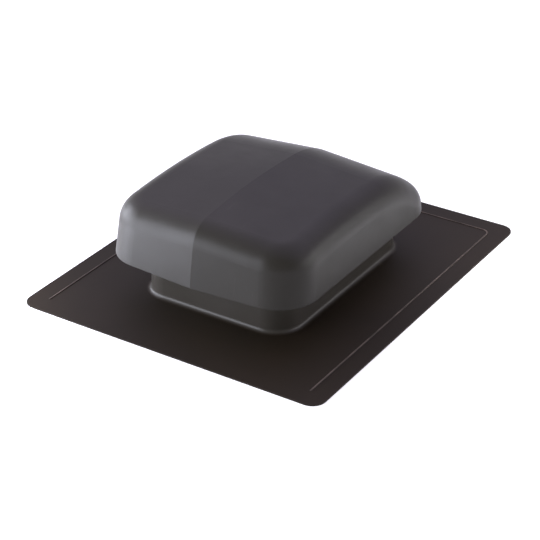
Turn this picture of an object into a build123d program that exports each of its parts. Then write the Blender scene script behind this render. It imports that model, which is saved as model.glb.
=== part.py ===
from build123d import *
import os
from math import cos, radians, sin, sqrt, tan

# Static roof vent: a moulded base, a creased hood with a slanted rear, an insect screen and four
# screws. Millimetres, +Z up. The origin is on the roof plane under the middle of the flange, and
# the front, which faces down the roof, is towards -Y.

# Flange, with a raised bead along its sides and rear that keeps water off the collar
flange_width = 406.0
flange_length = 478.0
flange_thickness = 2.0
flange_corner_radius = 17.0
bead_side_inset = 23.7
bead_end_inset = 25.0
bead_corner_radius = 10.0
bead_radius = 1.4
bead_height = 0.9

# Collar, measured at the roof plane; front and rear are distances from the flange's middle
collar_width = 202.0
collar_front = 142.0
collar_rear = 131.0
collar_corner_radius = 33.5
collar_height = 72.0
collar_wall = 2.5
collar_draft = 1.0
collar_foot_fillet = 6.0

# Hood, measured along its lower edge; the two halves meet in a crease on the middle plane
hood_width = 266.2
hood_front = 173.5
hood_rear = 152.5
hood_prow = 9.2
hood_corner_radius = 50.0
hood_edge_height = 57.4
hood_wall = 2.5
hood_side_draft = 3.8
hood_front_draft = 8.5
hood_edge_radius = 32.0

# Hood top: a crowned ridge that falls to both sides, and a rear that slants down to a low skirt
ridge_height = 137.6
gable_fall = 10.5
crown_radius = 1015.0
crown_middle = -40.5
rear_skirt = 22.0
rear_slope = 36.0
rear_bend_radius = 150.0

# Insect screen, a slotted panel that drops into the collar's mouth
screen_thickness = 3.0
screen_clearance = 0.5
screen_frame = 8.0
slot_width = 3.2
bar_width = 2.2
rib_width = 2.0
rib_depth = 4.0
rib_gap = 1.5

# Seat of the screen inside the collar
ledge_width = 4.0
ledge_thickness = 2.5

# Screws, with the bosses that they pass through and the posts that they bite into
screw_diameter = 4.2
screw_head_diameter = 8.5
screw_head_height = 2.8
screw_head_chamfer = 1.2
screw_recess = 1.4
screw_recess_length = 4.6
screw_recess_width = 1.0
screw_bite = 14.0
screw_point = 4.0
screw_hole_clearance = 0.4
pilot_depth_spare = 3.0
boss_radius = 8.0
boss_height = 11.0
post_radius = 5.5

# Two places closer than this count as one
touch = 0.001

screen_seat = collar_height - screen_thickness
post_foot = screen_seat + screen_thickness
boss_foot = screen_seat - boss_height
collar_length = collar_front + collar_rear
collar_middle = (collar_rear - collar_front) / 2
screw_hole_radius = (screw_diameter + screw_hole_clearance) / 2
hood_half = hood_width / 2


def rounded_plate(width, length, radius, middle, bottom, height, draft=0.0):
    """Upright rounded block, narrowing by the draft angle as it rises."""
    outline = Pos(0, middle, bottom) * RectangleRounded(width, length, radius)
    return extrude(outline, amount=height, taper=draft)


def collar_block(inset, bottom, top):
    """Solid inside the collar's outer wall, set in by inset, from one height to another."""
    lean = 2 * (inset + bottom * tan(radians(collar_draft)))
    radius = collar_corner_radius - lean / 2
    width = collar_width - lean
    length = collar_length - lean
    return rounded_plate(width, length, radius, collar_middle, bottom, top - bottom, collar_draft)


def screw_places():
    """Middle of each screw: tucked into the rounded corners of the collar's mouth."""
    mouth_inset = collar_wall + collar_height * tan(radians(collar_draft))
    reach = collar_corner_radius - mouth_inset - boss_radius + collar_wall / 2
    diagonal = reach / sqrt(2)
    x = collar_width / 2 - collar_corner_radius + diagonal
    front = -collar_front + collar_corner_radius - diagonal
    rear = collar_rear - collar_corner_radius + diagonal
    return [(side * x, y) for side in (-1, 1) for y in (front, rear)]


def make_base():
    """Flange with its bead, collar with its foot fillet, and the seat for screen and screws."""
    flange = rounded_plate(
        flange_width, flange_length, flange_corner_radius, 0, 0, flange_thickness
    )
    base = flange + collar_block(0, 0, collar_height)

    def at_foot(edge):
        box = edge.bounding_box()
        low = abs(box.min.Z - flange_thickness) < touch
        level = low and abs(box.max.Z - flange_thickness) < touch
        inside = max(box.max.X, -box.min.X) < collar_width / 2 + touch
        return level and inside

    base = fillet(base.edges().filter_by(at_foot), collar_foot_fillet)

    # The bead is a round bar sunk into the flange, open at the front, with round ends
    side = flange_width / 2 - bead_side_inset
    end = flange_length / 2 - bead_end_inset
    corners = [(-side, -end), (-side, end), (side, end), (side, -end)]
    bead_path = Pos(0, 0, flange_thickness + bead_height - bead_radius) * FilletPolyline(
        *corners, radius=bead_corner_radius
    )
    bead_start = Plane(origin=bead_path @ 0, z_dir=bead_path % 0)
    base += sweep(bead_start * Circle(bead_radius), path=bead_path)
    for place in (bead_path @ 0, bead_path @ 1):
        base += Pos(place) * Sphere(bead_radius)

    base -= collar_block(collar_wall, 0, collar_height)
    ledge = collar_block(collar_wall / 2, screen_seat - ledge_thickness, screen_seat)
    ledge -= collar_block(collar_wall + ledge_width, screen_seat - ledge_thickness, screen_seat)
    base += ledge
    inside_wall = collar_block(collar_wall / 2, boss_foot, screen_seat)
    for x, y in screw_places():
        boss = Pos(x, y, boss_foot) * extrude(Circle(boss_radius), amount=boss_height)
        base += boss & inside_wall
    for x, y in screw_places():
        base -= Pos(x, y, boss_foot) * extrude(Circle(screw_hole_radius), amount=boss_height)
    return base


def hood_outline(height, inset):
    """Half outline of the hood's drafted walls at a height above its lower edge, set in by inset."""
    front_lean = tan(radians(hood_front_draft))
    side_lean = tan(radians(hood_side_draft))
    sweep_back = hood_prow / hood_half
    front_inset = inset * sqrt(1 + sweep_back**2 + front_lean**2)
    side_inset = inset * sqrt(1 + side_lean**2)
    side = hood_half - height * side_lean - side_inset
    rear = hood_rear - height * side_lean - side_inset
    front = -hood_front - hood_prow + height * front_lean + front_inset
    points = [(0, front), (side, front + side * sweep_back), (side, rear), (0, rear)]
    return Pos(0, 0, hood_edge_height + height) * make_face(Polyline(*points, close=True))


def hood_walls(inset):
    """Half block bounded by the hood's front, side and rear walls, with round upright corners."""
    rise = ridge_height + hood_edge_radius - hood_edge_height
    block = loft([hood_outline(0, inset), hood_outline(rise, inset)], ruled=True)

    def upright_corner(edge):
        climb = abs((edge @ 1).Z - (edge @ 0).Z)
        return climb > rise / 2 and edge.center().X > hood_half / 2

    return fillet(block.edges().filter_by(upright_corner), hood_corner_radius - inset)


def hood_top(inset):
    """Half block under the crowned ridge and the slanted rear, falling away from the ridge."""
    fall = Vector(hood_half, 0, -gable_fall)
    tilt = hood_half / fall.length
    slope = radians(rear_slope)
    skirt_top = hood_edge_height + rear_skirt
    crown_centre = ridge_height - crown_radius
    # Where the slanted rear, drawn up from the top of the skirt, meets the circle of the crown
    away = hood_rear - crown_middle
    below = skirt_top - crown_centre
    half_b = below * sin(slope) - away * cos(slope)
    run = sqrt(half_b**2 - away**2 - below**2 + crown_radius**2) - half_b
    bend = (hood_rear - run * cos(slope), skirt_top + run * sin(slope))
    # The profile runs past the walls on every side, which trim it
    front = -hood_front - hood_prow - hood_edge_radius
    foot = hood_edge_height - gable_fall - hood_edge_radius
    front_top = crown_centre + sqrt(crown_radius**2 - (front - crown_middle) ** 2)
    rear = hood_rear + (skirt_top - foot) / tan(slope)
    outline = ThreePointArc((front, front_top), (crown_middle, ridge_height), bend)
    outline += Polyline(bend, (rear, foot), (front, foot), (front, front_top))
    profile = make_face(outline)
    bend_vertex = profile.vertices().sort_by_distance(bend)[0]
    profile = fillet(bend_vertex, rear_bend_radius)
    if inset > 0:
        profile = offset(profile, amount=-inset)
    # Drawn square to the falling direction, so heights on the crease plane shrink by the tilt
    across = Plane(origin=(0, 0, 0), x_dir=(0, 1, 0), z_dir=fall)
    lowered = Pos(0, ridge_height * (tilt - 1)) * profile
    return extrude(across * lowered, amount=fall.length + hood_edge_radius, both=True)


def hood_solid(inset):
    """Hood as a solid, set in by inset: two mirrored halves, each with its large round edge."""
    walls = hood_walls(inset)
    half = walls & hood_top(inset)
    wall_faces = [face for face in walls.faces() if face.center().X > hood_wall]

    def round_edge(edge):
        middle = edge @ 0.5
        on_wall = min(face.distance_to(middle) for face in wall_faces) < touch
        above_rim = edge.bounding_box().min.Z > hood_edge_height + touch
        return middle.X > hood_wall and on_wall and above_rim

    half = fillet(half.edges().filter_by(round_edge), hood_edge_radius - inset)
    return half + mirror(half, about=Plane.YZ)


def make_hood():
    """Shell with an even wall and a crease on the middle plane, with the screw posts inside."""
    outside = hood_solid(0)
    hood = outside - hood_solid(hood_wall)
    for x, y in screw_places():
        post = Pos(x, y, post_foot) * extrude(Circle(post_radius), amount=ridge_height)
        hood += post & outside
    pilot_depth = screw_bite + pilot_depth_spare
    for x, y in screw_places():
        hood -= Pos(x, y, post_foot) * extrude(Circle(screw_diameter / 2), amount=pilot_depth)
    return hood


def make_screen():
    """Slotted panel with stiffening ribs below its bars, held at its corners by the screws."""
    panel = collar_block(collar_wall + screen_clearance, screen_seat, screen_seat + screen_thickness)
    box = panel.bounding_box()
    half_width = box.max.X - screen_frame
    places = screw_places()
    corner_x = max(x for x, y in places) - boss_radius - bar_width
    pitch = slot_width + bar_width
    field = box.size.Y - 2 * screen_frame
    rows = int((field + bar_width) / pitch)
    first = collar_middle - (rows - 1) * pitch / 2
    slots = Sketch()
    for row in range(rows):
        y = first + row * pitch
        beside_boss = min(abs(y - place_y) for x, place_y in places) < boss_radius + bar_width
        past_boss = y > places[1][1] or y < places[0][1]
        half_length = corner_x if beside_boss or past_boss else half_width
        slots += Pos(0, y) * Rectangle(2 * half_length, slot_width)
    panel -= extrude(Pos(0, 0, screen_seat) * slots, amount=screen_thickness)

    rib_length = collar_length - 2 * (collar_wall + ledge_width + rib_gap)
    rib_length -= 2 * collar_height * tan(radians(collar_draft))
    rib_spacing = half_width / 2
    for x in (-rib_spacing, 0, rib_spacing):
        rib = Pos(x, collar_middle, screen_seat) * Rectangle(rib_width, rib_length)
        panel += extrude(rib, amount=-rib_depth)
    for x, y in places:
        panel -= Pos(x, y, screen_seat) * extrude(Circle(screw_hole_radius), amount=screen_thickness)
    return panel


def make_screw():
    """Self-tapping pan-head screw standing on its head, with the head's seat at height zero."""
    length = boss_height + screen_thickness + screw_bite
    shank = screw_diameter / 2
    head = screw_head_diameter / 2
    rim = -screw_head_height + screw_head_chamfer
    face = head - screw_head_chamfer
    points = [(0, -screw_head_height), (0, length), (shank, length - screw_point), (shank, 0)]
    points += [(head, 0), (head, rim), (face, -screw_head_height)]
    outline = Polyline(*points, close=True)
    screw = revolve(make_face(Plane.XZ * outline), axis=Axis.Z)
    recess = Rectangle(screw_recess_length, screw_recess_width)
    recess += Rectangle(screw_recess_width, screw_recess_length)
    return screw - extrude(Pos(0, 0, -screw_head_height) * recess, amount=screw_recess)


def make_screws():
    """Four screws driven up through the bosses and the screen into the hood's posts."""
    screw = make_screw()
    return Compound(children=[Pos(x, y, boss_foot) * screw for x, y in screw_places()])


os.makedirs("parts", exist_ok=True)
export_step(make_base(), "parts/base.step")
export_step(make_hood(), "parts/hood.step")
export_step(make_screen(), "parts/insect_screen.step")
export_step(make_screws(), "parts/screws.step")
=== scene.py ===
from math import cos, radians, sin

import bpy
import numpy as np
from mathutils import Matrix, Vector


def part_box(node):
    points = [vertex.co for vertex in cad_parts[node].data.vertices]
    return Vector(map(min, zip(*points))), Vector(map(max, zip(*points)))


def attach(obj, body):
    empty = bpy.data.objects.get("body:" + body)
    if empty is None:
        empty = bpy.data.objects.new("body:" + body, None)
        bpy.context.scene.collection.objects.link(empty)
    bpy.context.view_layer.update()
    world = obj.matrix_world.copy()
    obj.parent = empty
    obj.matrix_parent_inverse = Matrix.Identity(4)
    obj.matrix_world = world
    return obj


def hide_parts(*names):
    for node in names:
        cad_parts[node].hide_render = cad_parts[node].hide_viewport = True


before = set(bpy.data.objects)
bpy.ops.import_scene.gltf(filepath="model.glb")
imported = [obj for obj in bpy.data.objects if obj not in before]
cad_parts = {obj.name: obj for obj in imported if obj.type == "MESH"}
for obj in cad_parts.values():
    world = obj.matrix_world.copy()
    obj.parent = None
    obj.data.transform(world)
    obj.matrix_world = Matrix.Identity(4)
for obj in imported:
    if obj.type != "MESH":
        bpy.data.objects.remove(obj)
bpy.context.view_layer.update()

# Base: one injection moulding of black polypropylene. The wide flange is slid under the shingles
# and nailed to the roof deck, and the collar stands on it round the hole in the deck. A raised
# bead along its sides and rear turns the rain away from the collar.


def linear(hex_colour):
    """Linear RGBA of an sRGB hex colour: each channel through the sRGB curve, alpha 1."""
    channels = [int(hex_colour[i : i + 2], 16) / 255 for i in (1, 3, 5)]
    return [c / 12.92 if c <= 0.04045 else ((c + 0.055) / 1.055) ** 2.4 for c in channels] + [1.0]


def add_node(tree, kind, settings=(), inputs=(), links=()):
    """Node with its properties, its socket values and the outputs that are linked to its inputs."""
    node = tree.nodes.new(kind)
    for name, value in dict(settings).items():
        setattr(node, name, value)
    for name, value in dict(inputs).items():
        node.inputs[name].default_value = value
    for name, source in dict(links).items():
        tree.links.new(source, node.inputs[name])
    return node


def new_material(name):
    """Material with its tree, its Principled shader and the Object coordinates to build on."""
    material = bpy.data.materials.new(name)
    material.use_nodes = True
    tree = material.node_tree
    shader = tree.nodes["Principled BSDF"]
    place = add_node(tree, "ShaderNodeTexCoord").outputs["Object"]
    return material, tree, shader, place


def per_mm(size):
    """Texture scale, on coordinates in metres, of a pattern with cells this many mm wide."""
    return 1000 / size


def dress(node, material):
    """Gives a CAD node its material in its only slot."""
    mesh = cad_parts[node].data
    mesh.materials.clear()
    mesh.materials.append(material)


# Sizes of the plastic's marks in millimetres. The mould's grain is really about 0.3 mm and a scuff
# is a hairline: both are drawn coarser, so that they show.
FLOW_MARK, SMEAR = 90, 35
SCUFF_WIDTH, SCUFF_LENGTH, SCUFF_HEIGHT = 1.5, 50, 20
GRAIN, GRAIN_DEPTH = 1.2, 0.018
SHRINKAGE_WAVE, WAVE_DEPTH = 60, 0.2
SCUFF_ANGLE = radians(28)
SCUFF_COLOUR = "#36332e"
SCUFF_DULLING = 0.08
POLYPROPYLENE_IOR = 1.49


def moulded_polypropylene(name, dark, light, rough, shine):
    """Satin black polypropylene straight from a textured mould.

    Flow marks drift the colour between two near-blacks, smears change the gloss between two
    roughnesses, and scuffs dull it where it is handled. A fine grain and slow shrinkage waves
    break up the mirror.
    """
    material, tree, shader, place = new_material(name)
    shader.inputs["IOR"].default_value = POLYPROPYLENE_IOR
    shader.inputs["Specular IOR Level"].default_value = shine
    # Flow marks
    flow = add_node(
        tree,
        "ShaderNodeTexNoise",
        inputs={"Scale": per_mm(FLOW_MARK), "Detail": 3.0},
        links={"Vector": place},
    )
    tone = add_node(tree, "ShaderNodeValToRGB", links={"Fac": flow.outputs["Fac"]})
    for element, position, colour in zip(tone.color_ramp.elements, (0.3, 0.7), (dark, light)):
        element.position = position
        element.color = linear(colour)
    # Scuffs, on the patches that are handled
    handled = add_node(
        tree,
        "ShaderNodeMapRange",
        inputs={"From Min": 0.52, "From Max": 0.66},
        links={"Value": flow.outputs["Fac"]},
    )
    streak = add_node(
        tree,
        "ShaderNodeMapping",
        inputs={
            "Rotation": (0.0, 0.0, SCUFF_ANGLE),
            "Scale": (per_mm(SCUFF_WIDTH), per_mm(SCUFF_LENGTH), per_mm(SCUFF_HEIGHT)),
        },
        links={"Vector": place},
    )
    hairs = add_node(
        tree,
        "ShaderNodeTexNoise",
        inputs={"Scale": 1.0, "Detail": 2.0},
        links={"Vector": streak.outputs["Vector"]},
    )
    scuff = add_node(
        tree,
        "ShaderNodeMapRange",
        inputs={"From Min": 0.65, "From Max": 0.76},
        links={"Value": hairs.outputs["Fac"], "To Max": handled.outputs["Result"]},
    ).outputs["Result"]
    scuffed = add_node(
        tree,
        "ShaderNodeMixRGB",
        inputs={"Color2": linear(SCUFF_COLOUR)},
        links={"Fac": scuff, "Color1": tone.outputs["Color"]},
    )
    tree.links.new(scuffed.outputs["Color"], shader.inputs["Base Color"])
    # Smears
    smear = add_node(
        tree,
        "ShaderNodeTexNoise",
        inputs={"Scale": per_mm(SMEAR), "Detail": 4.0, "Roughness": 0.6},
        links={"Vector": place},
    )
    gloss = add_node(
        tree,
        "ShaderNodeMapRange",
        inputs={"From Min": 0.3, "From Max": 0.7, "To Min": rough[0], "To Max": rough[1]},
        links={"Value": smear.outputs["Fac"]},
    )
    dulled = add_node(
        tree,
        "ShaderNodeMath",
        {"operation": "MULTIPLY_ADD"},
        {1: SCUFF_DULLING},
        {0: scuff, 2: gloss.outputs["Result"]},
    )
    tree.links.new(dulled.outputs["Value"], shader.inputs["Roughness"])
    # Grain and shrinkage waves
    grain = add_node(
        tree,
        "ShaderNodeTexNoise",
        inputs={"Scale": per_mm(GRAIN), "Detail": 2.0},
        links={"Vector": place},
    )
    fine = add_node(
        tree,
        "ShaderNodeBump",
        inputs={"Distance": GRAIN_DEPTH / 1000},
        links={"Height": grain.outputs["Fac"]},
    )
    wave = add_node(
        tree,
        "ShaderNodeTexNoise",
        inputs={"Scale": per_mm(SHRINKAGE_WAVE), "Detail": 1.0},
        links={"Vector": place},
    )
    broad = add_node(
        tree,
        "ShaderNodeBump",
        inputs={"Distance": WAVE_DEPTH / 1000},
        links={"Height": wave.outputs["Fac"], "Normal": fine.outputs["Normal"]},
    )
    tree.links.new(broad.outputs["Normal"], shader.inputs["Normal"])
    return material, tree, shader, place


base_plastic, tree, shader, place = moulded_polypropylene(
    "moulded polypropylene, base", "#34312c", "#3a3733", rough=(0.28, 0.36), shine=0.22
)
collar_colour = shader.inputs["Base Color"].links[0].from_socket
collar_roughness = shader.inputs["Roughness"].links[0].from_socket
position = add_node(tree, "ShaderNodeSeparateXYZ", links={"Vector": place}).outputs

# The flange's face has a coarser grain than the collar: it looks matter, darker and browner
FLANGE_FACE = 0.002
FOOT_FILLET = 0.006
FLANGE_TINT = "#8b7246"
FLANGE_ROUGHNESS = 0.62
collar_share = add_node(
    tree,
    "ShaderNodeMapRange",
    {"interpolation_type": "SMOOTHSTEP"},
    {"From Min": FLANGE_FACE, "From Max": FLANGE_FACE + FOOT_FILLET / 2},
    {"Value": position["Z"]},
).outputs["Result"]
tint = add_node(
    tree,
    "ShaderNodeMixRGB",
    inputs={"Color1": linear(FLANGE_TINT), "Color2": linear("#ffffff")},
    links={"Fac": collar_share},
)
browned = add_node(
    tree,
    "ShaderNodeMixRGB",
    {"blend_type": "MULTIPLY"},
    {"Fac": 1.0},
    {"Color1": collar_colour, "Color2": tint.outputs["Color"]},
)
matt = add_node(
    tree,
    "ShaderNodeMapRange",
    inputs={"To Min": FLANGE_ROUGHNESS},
    links={"Value": collar_share, "To Max": collar_roughness},
)
tree.links.new(matt.outputs["Result"], shader.inputs["Roughness"])

# The bead's crest is painted paler, in patches about 30 mm long: partly wear, where flanges lie
# stacked and rub, and partly a painted highlight along the crest. The collar passes through the
# same heights, so the paler crest lies clear of it.
BEAD_HEIGHT = 0.0009
RUB_AND_HIGHLIGHT_PATCH = 30
RUBBED_AND_HIGHLIGHT_COLOUR = "#4e443d"
COLLAR_CLEAR_X, COLLAR_CLEAR_Y = 0.12, 0.16
crest = add_node(
    tree,
    "ShaderNodeMapRange",
    {"interpolation_type": "SMOOTHSTEP"},
    {"From Min": FLANGE_FACE + BEAD_HEIGHT / 4, "From Max": FLANGE_FACE + BEAD_HEIGHT},
    {"Value": position["Z"]},
)
patches = add_node(
    tree,
    "ShaderNodeTexNoise",
    inputs={"Scale": per_mm(RUB_AND_HIGHLIGHT_PATCH), "Detail": 2.0},
    links={"Vector": place},
)
rubbed_and_highlit = add_node(
    tree,
    "ShaderNodeMapRange",
    inputs={"From Min": 0.35, "From Max": 0.6, "To Min": 0.3},
    links={"Value": patches.outputs["Fac"]},
)
past = []
for axis, limit in (("X", COLLAR_CLEAR_X), ("Y", COLLAR_CLEAR_Y)):
    off_axis = add_node(
        tree, "ShaderNodeMath", {"operation": "ABSOLUTE"}, links={0: position[axis]}
    )
    past.append(
        add_node(
            tree,
            "ShaderNodeMath",
            {"operation": "GREATER_THAN"},
            {1: limit},
            {0: off_axis.outputs["Value"]},
        ).outputs["Value"]
    )
clear = add_node(tree, "ShaderNodeMath", {"operation": "MAXIMUM"}, links={0: past[0], 1: past[1]})
on_crest = add_node(
    tree,
    "ShaderNodeMath",
    {"operation": "MULTIPLY"},
    links={0: crest.outputs["Result"], 1: clear.outputs["Value"]},
)
patchy_wear_and_highlight = add_node(
    tree,
    "ShaderNodeMath",
    {"operation": "MULTIPLY"},
    links={0: on_crest.outputs["Value"], 1: rubbed_and_highlit.outputs["Result"]},
)
# Paler crest: rubbed wear together with a painted highlight along the bead
worn_and_highlit = add_node(
    tree,
    "ShaderNodeMixRGB",
    inputs={"Color2": linear(RUBBED_AND_HIGHLIGHT_COLOUR)},
    links={"Fac": patchy_wear_and_highlight.outputs["Value"], "Color1": browned.outputs["Color"]},
)
tree.links.new(worn_and_highlit.outputs["Color"], shader.inputs["Base Color"])
dress("base", base_plastic)

# Insect screen: a slotted panel of the same polypropylene that drops into the collar's mouth and
# keeps insects and leaves out. Three ribs underneath hold its bars straight. It is blacker and
# duller than the hood.
screen_plastic = moulded_polypropylene(
    "moulded polypropylene, screen", "#1a1817", "#211f1d", rough=(0.42, 0.55), shine=0.3
)[0]
dress("insect_screen", screen_plastic)

# Screws: four self-tapping pan-head screws of zinc-plated steel, driven up through the collar's
# bosses and the screen's corners into the hood's posts. They hold the whole vent together.
screws_low, screws_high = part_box("screws")
HEAD_RADIUS, HEAD_HEIGHT, HEAD_ROUND = 0.00425, 0.0028, 0.0012
RECESS_LENGTH, RECESS_WIDTH, RECESS_DEPTH = 0.0046, 0.001, 0.0014
SHANK_RADIUS, CORE_RADIUS, THREAD_PITCH, POINT_LENGTH = 0.0021, 0.0016, 0.0014, 0.004
TIP_GAP = 0.0002
RINGS_PER_PITCH = 6
FLANK_SHARE = 0.3
LEAST_SINE = 1e-9


def screw_mesh(name, places, foot, length):
    """Threaded screws as one mesh: a profile turned round an upright axis at each place.

    The rings run from the middle of the recess down its cross-shaped wall, over the head's flat
    face and rounded rim to the seat, and up the shank to the point. The cross's radius at an
    angle is the nearer of its arm's end and its arm's side. On the shank the radius rises from
    the core to the crest once in every pitch, and the crest climbs one pitch in a turn. At the
    point both shrink evenly to nothing.
    """
    # Columns in degrees over an eighth of a turn, one of them at the corner of the cross's arm
    eighth = np.array([0.0, 6.1, 12.3, 19.0, 29.0, 45.0])
    quarter = np.concatenate([eighth, 90 - eighth[-2:0:-1]])
    angle = np.radians((np.arange(0, 360, 90)[:, None] + quarter).ravel())
    around = len(angle)
    # Rings of the recess, close together at its edges to keep them crisp, and of the rim and
    # shank. The least sine keeps the middle of an arm from being divided by zero.
    fold = np.radians(np.minimum(quarter, 90 - quarter))
    arm_end = RECESS_LENGTH / 2 / np.cos(fold)
    arm_side = RECESS_WIDTH / 2 / np.maximum(np.sin(fold), LEAST_SINE)
    cross = np.tile(np.minimum(arm_end, arm_side), 4)
    recess_radius = np.outer([0.1, 0.97, 1.0, 1.0, 1.03], cross)
    recess_height = RECESS_DEPTH * np.array([1.0, 1.0, 0.97, 0.03, 0.0])
    bend = np.linspace(0, np.pi / 2, 8)
    rim_radius = HEAD_RADIUS - HEAD_ROUND + HEAD_ROUND * np.sin(bend)
    rim_height = HEAD_ROUND * (1 - np.cos(bend))
    shank_rings = int(RINGS_PER_PITCH * (length - HEAD_HEIGHT) / THREAD_PITCH)
    shank_height = np.linspace(HEAD_HEIGHT, length - TIP_GAP, shank_rings)
    round_radius = np.concatenate([rim_radius, [HEAD_RADIUS], np.full(shank_rings, CORE_RADIUS)])
    radius = np.concatenate([recess_radius, np.outer(round_radius, np.ones(around))])
    height = np.concatenate([recess_height, rim_height, [HEAD_HEIGHT], shank_height])
    height = np.outer(height, np.ones(around))
    # Thread and point
    shank = slice(len(height) - shank_rings, None)
    turn = (height[shank] / THREAD_PITCH - angle / (2 * np.pi)) % 1.0
    ridge = np.clip(1 - np.abs(turn - 0.5) / FLANK_SHARE, 0, 1)
    radius[shank] += (SHANK_RADIUS - CORE_RADIUS) * ridge
    radius[shank] *= np.clip((length - height[shank]) / POINT_LENGTH, 0, 1)
    # Points of one screw, with the middle of the recess and the tip as poles
    rings = np.stack([radius * np.cos(angle), radius * np.sin(angle), height], -1)
    poles = [[0, 0, RECESS_DEPTH], [0, 0, length]]
    points = np.concatenate([rings.reshape(-1, 3), poles])
    recess_pole, tip_pole = len(points) - 2, len(points) - 1
    # Faces, wound so that they look outward
    number = np.arange(rings.shape[0] * around).reshape(-1, around)
    beside = np.roll(number, -1, 1)
    quads = np.stack([number[:-1], beside[:-1], beside[1:], number[1:]], -1).reshape(-1, 4)
    caps = np.concatenate(
        [
            np.stack([np.full(around, recess_pole), beside[0], number[0]], -1),
            np.stack([np.full(around, tip_pole), number[-1], beside[-1]], -1),
        ]
    )
    # One copy at each place
    shift = np.arange(len(places))[:, None, None] * len(points)
    offset = np.column_stack([places, np.full(len(places), foot)])
    all_points = (points + offset[:, None]).reshape(-1, 3)
    all_quads = (quads + shift).reshape(-1, 4)
    all_caps = (caps + shift).reshape(-1, 3)
    mesh = bpy.data.meshes.new(name)
    mesh.from_pydata(all_points.tolist(), [], all_quads.tolist() + all_caps.tolist())
    mesh.polygons.foreach_set("use_smooth", np.ones(len(mesh.polygons), bool))
    return mesh


screw_x = screws_high.x - HEAD_RADIUS
screw_front, screw_rear = screws_low.y + HEAD_RADIUS, screws_high.y - HEAD_RADIUS
screw_places = [(side * screw_x, y) for side in (-1, 1) for y in (screw_front, screw_rear)]
threaded = screw_mesh(
    "threaded_screws", screw_places, screws_low.z, screws_high.z - screws_low.z
)
screws = bpy.data.objects.new("threaded_screws", threaded)
scene = bpy.context.scene
scene.collection.objects.link(screws)
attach(screws, "root")
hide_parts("screws")

# Zinc plating: bright and cool, with a faint spangle that is duller away from each grain's middle
SPANGLE = 2.0
zinc, tree, shader, place = new_material("zinc plated steel")
shader.inputs["Metallic"].default_value = 1.0
spangle = add_node(
    tree, "ShaderNodeTexVoronoi", inputs={"Scale": per_mm(SPANGLE)}, links={"Vector": place}
).outputs["Distance"]
plate = add_node(tree, "ShaderNodeValToRGB", links={"Fac": spangle})
for element, colour in zip(plate.color_ramp.elements, ("#c4c6c4", "#a3a5a0")):
    element.color = linear(colour)
tree.links.new(plate.outputs["Color"], shader.inputs["Base Color"])
bright = add_node(
    tree, "ShaderNodeMapRange", inputs={"To Min": 0.28, "To Max": 0.45}, links={"Value": spangle}
)
tree.links.new(bright.outputs["Result"], shader.inputs["Roughness"])
threaded.materials.append(zinc)

# Hood: one injection moulding of the same polypropylene, blacker than the base and an even satin,
# with a crease on its middle plane. It sheds the rain, the air leaves below its edge, and the
# screws hold it from below.
hood_plastic = moulded_polypropylene(
    "moulded polypropylene, hood", "#211f1a", "#272520", rough=(0.37, 0.43), shine=0.25
)[0]
dress("hood", hood_plastic)

# Studio: a white paper floor, a soft panel low on the left and a weaker one on the right, a spot on
# the paper at each side, and a pale room that is brightest high up behind.
FLOOR_HALF = 40.0
FLOOR_LIFT = 0.48
floor_mesh = bpy.data.meshes.new("floor")
floor_mesh.from_pydata(
    [(x * FLOOR_HALF, y * FLOOR_HALF, 0.0) for x, y in ((-1, -1), (1, -1), (1, 1), (-1, 1))],
    [],
    [(0, 1, 2, 3)],
)
floor = bpy.data.objects.new("floor", floor_mesh)
scene.collection.objects.link(floor)
paper, tree, shader, _ = new_material("white paper floor")
shader.inputs["Base Color"].default_value = linear("#dcdcdc")
shader.inputs["Roughness"].default_value = 1.0
shader.inputs["Specular IOR Level"].default_value = 0.0
# The paper is lifted to white where it is looked at or mirrored, and still takes the shadow
rays = add_node(tree, "ShaderNodeLightPath").outputs
mirrored = add_node(
    tree,
    "ShaderNodeMath",
    {"operation": "MAXIMUM"},
    links={0: rays["Is Glossy Ray"], 1: rays["Is Transmission Ray"]},
)
seen = add_node(
    tree,
    "ShaderNodeMath",
    {"operation": "MAXIMUM"},
    links={0: rays["Is Camera Ray"], 1: mirrored.outputs["Value"]},
)
lift = add_node(
    tree,
    "ShaderNodeMath",
    {"operation": "MULTIPLY"},
    {1: FLOOR_LIFT},
    {0: seen.outputs["Value"]},
)
shader.inputs["Emission Color"].default_value = (1.0, 1.0, 1.0, 1.0)
tree.links.new(lift.outputs["Value"], shader.inputs["Emission Strength"])
floor_mesh.materials.append(paper)


def toward(azimuth, elevation):
    """Unit vector to a side of the object, in degrees right of its front and above the floor."""
    a, e = radians(azimuth), radians(elevation)
    return Vector((sin(a) * cos(e), -cos(a) * cos(e), sin(e)))


def hang_lamp(lamp, place, aim):
    """Puts a lamp at a place, aimed at a point, hidden from the camera."""
    holder = bpy.data.objects.new(lamp.name, lamp)
    holder.location = place
    holder.rotation_mode = "QUATERNION"
    holder.rotation_quaternion = (Vector(aim) - Vector(place)).to_track_quat("-Z", "Y")
    holder.visible_camera = False
    scene.collection.objects.link(holder)


MIDDLE = Vector((0, 0, 0.07))


def soft_panel(name, azimuth, elevation, distance, width, height, watts, colour):
    """Rectangular lamp on a side of the object, aimed at its middle."""
    lamp = bpy.data.lights.new(name, "AREA")
    lamp.shape = "RECTANGLE"
    lamp.size = width
    lamp.size_y = height
    lamp.energy = watts
    lamp.color = linear(colour)[:3]
    hang_lamp(lamp, MIDDLE + distance * toward(azimuth, elevation), MIDDLE)


def floor_spot(name, place, aim, cone, watts, colour):
    """Round lamp with a soft edge, aimed at a spot on the floor, with its cone in degrees."""
    lamp = bpy.data.lights.new(name, "SPOT")
    lamp.energy = watts
    lamp.color = linear(colour)[:3]
    lamp.spot_size = radians(cone)
    lamp.spot_blend = 0.8
    lamp.shadow_soft_size = 0.1
    hang_lamp(lamp, place, aim)


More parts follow.
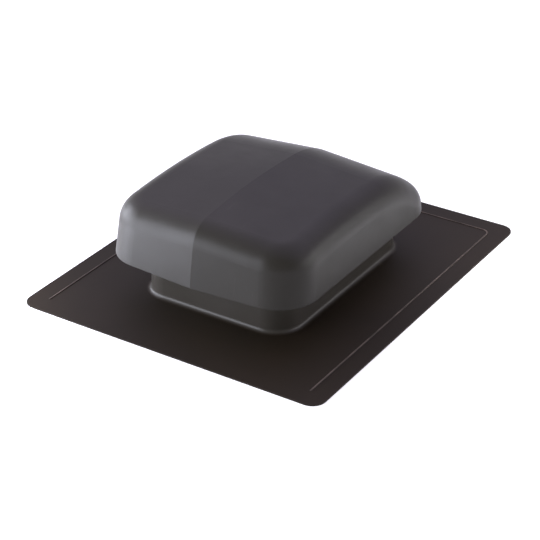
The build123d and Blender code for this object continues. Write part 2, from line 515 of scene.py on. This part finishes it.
DAYLIGHT, WHITE = "#eef1ff", "#ffffff"
soft_panel(
    "left panel",
    azimuth=-58,
    elevation=12,
    distance=1.5,
    width=2.4,
    height=0.95,
    watts=73,
    colour=DAYLIGHT,
)
soft_panel(
    "right panel",
    azimuth=115,
    elevation=13,
    distance=1.8,
    width=1.6,
    height=0.6,
    watts=10,
    colour=WHITE,
)
floor_spot(
    "left floor spot",
    place=(-1.0, -1.0, 1.1),
    aim=(-0.43, -0.45, 0.0),
    cone=20,
    watts=1650,
    colour=DAYLIGHT,
)
floor_spot(
    "right floor spot",
    place=(1.0, 0.5, 0.9),
    aim=(0.48, 0.24, 0.0),
    cone=30,
    watts=140,
    colour=WHITE,
)

world = bpy.data.worlds.new("studio")
scene.world = world
world.use_nodes = True
tree = world.node_tree
direction = add_node(tree, "ShaderNodeTexCoord").outputs["Generated"]
look = add_node(tree, "ShaderNodeSeparateXYZ", links={"Vector": direction}).outputs


def room_side(*stops):
    """Colour up one side of the room, in stops of height, level and colour.

    The height is the sine of the angle above the horizon: 0 at the horizon and 1 overhead.
    """
    ramp = add_node(tree, "ShaderNodeValToRGB", links={"Fac": look["Z"]})
    while len(ramp.color_ramp.elements) < len(stops):
        ramp.color_ramp.elements.new(1.0)
    for element, (height, level, colour) in zip(ramp.color_ramp.elements, stops):
        element.position = height
        element.color = [level * c for c in linear(colour)[:3]] + [1.0]
    return ramp.outputs["Color"]


COOL, WARM = "#ebe3ff", "#fffaf0"
behind = room_side(
    (0.0, 0.7, WHITE),
    (0.15, 0.72, WHITE),
    (0.27, 0.84, COOL),
    (0.45, 0.55, COOL),
    (0.6, 1.42, COOL),
    (0.8, 1.85, COOL),
    (1.0, 1.1, COOL),
)
ahead = room_side(
    (0.0, 0.6, WHITE),
    (0.15, 0.6, WHITE),
    (0.27, 0.5, WARM),
    (0.5, 0.5, WARM),
    (0.75, 0.45, WARM),
    (1.0, 1.1, COOL),
)
turned_back = add_node(
    tree,
    "ShaderNodeMapRange",
    {"interpolation_type": "SMOOTHSTEP"},
    {"From Min": -0.5, "From Max": 0.3},
    {"Value": look["Y"]},
)
room = add_node(
    tree,
    "ShaderNodeMixRGB",
    links={"Fac": turned_back.outputs["Result"], "Color1": ahead, "Color2": behind},
)
tree.links.new(room.outputs["Color"], tree.nodes["Background"].inputs["Color"])

# Camera: to the right of the front and above, with a long lens.
CAMERA_AZIMUTH, CAMERA_ELEVATION = 32.75, 29.6
CAMERA_PLACE = (0.9962, -1.5651, 1.0477)
LENS, SENSOR = 117.09, 36.0
camera_data = bpy.data.cameras.new("camera")
camera_data.lens = LENS
camera_data.sensor_width = SENSOR
camera = bpy.data.objects.new("camera", camera_data)
camera.location = CAMERA_PLACE
camera.rotation_mode = "QUATERNION"
back = toward(CAMERA_AZIMUTH, CAMERA_ELEVATION)
camera.rotation_quaternion = (-back).to_track_quat("-Z", "Y")
scene.collection.objects.link(camera)
scene.camera = camera
scene.view_settings.view_transform = "Standard"
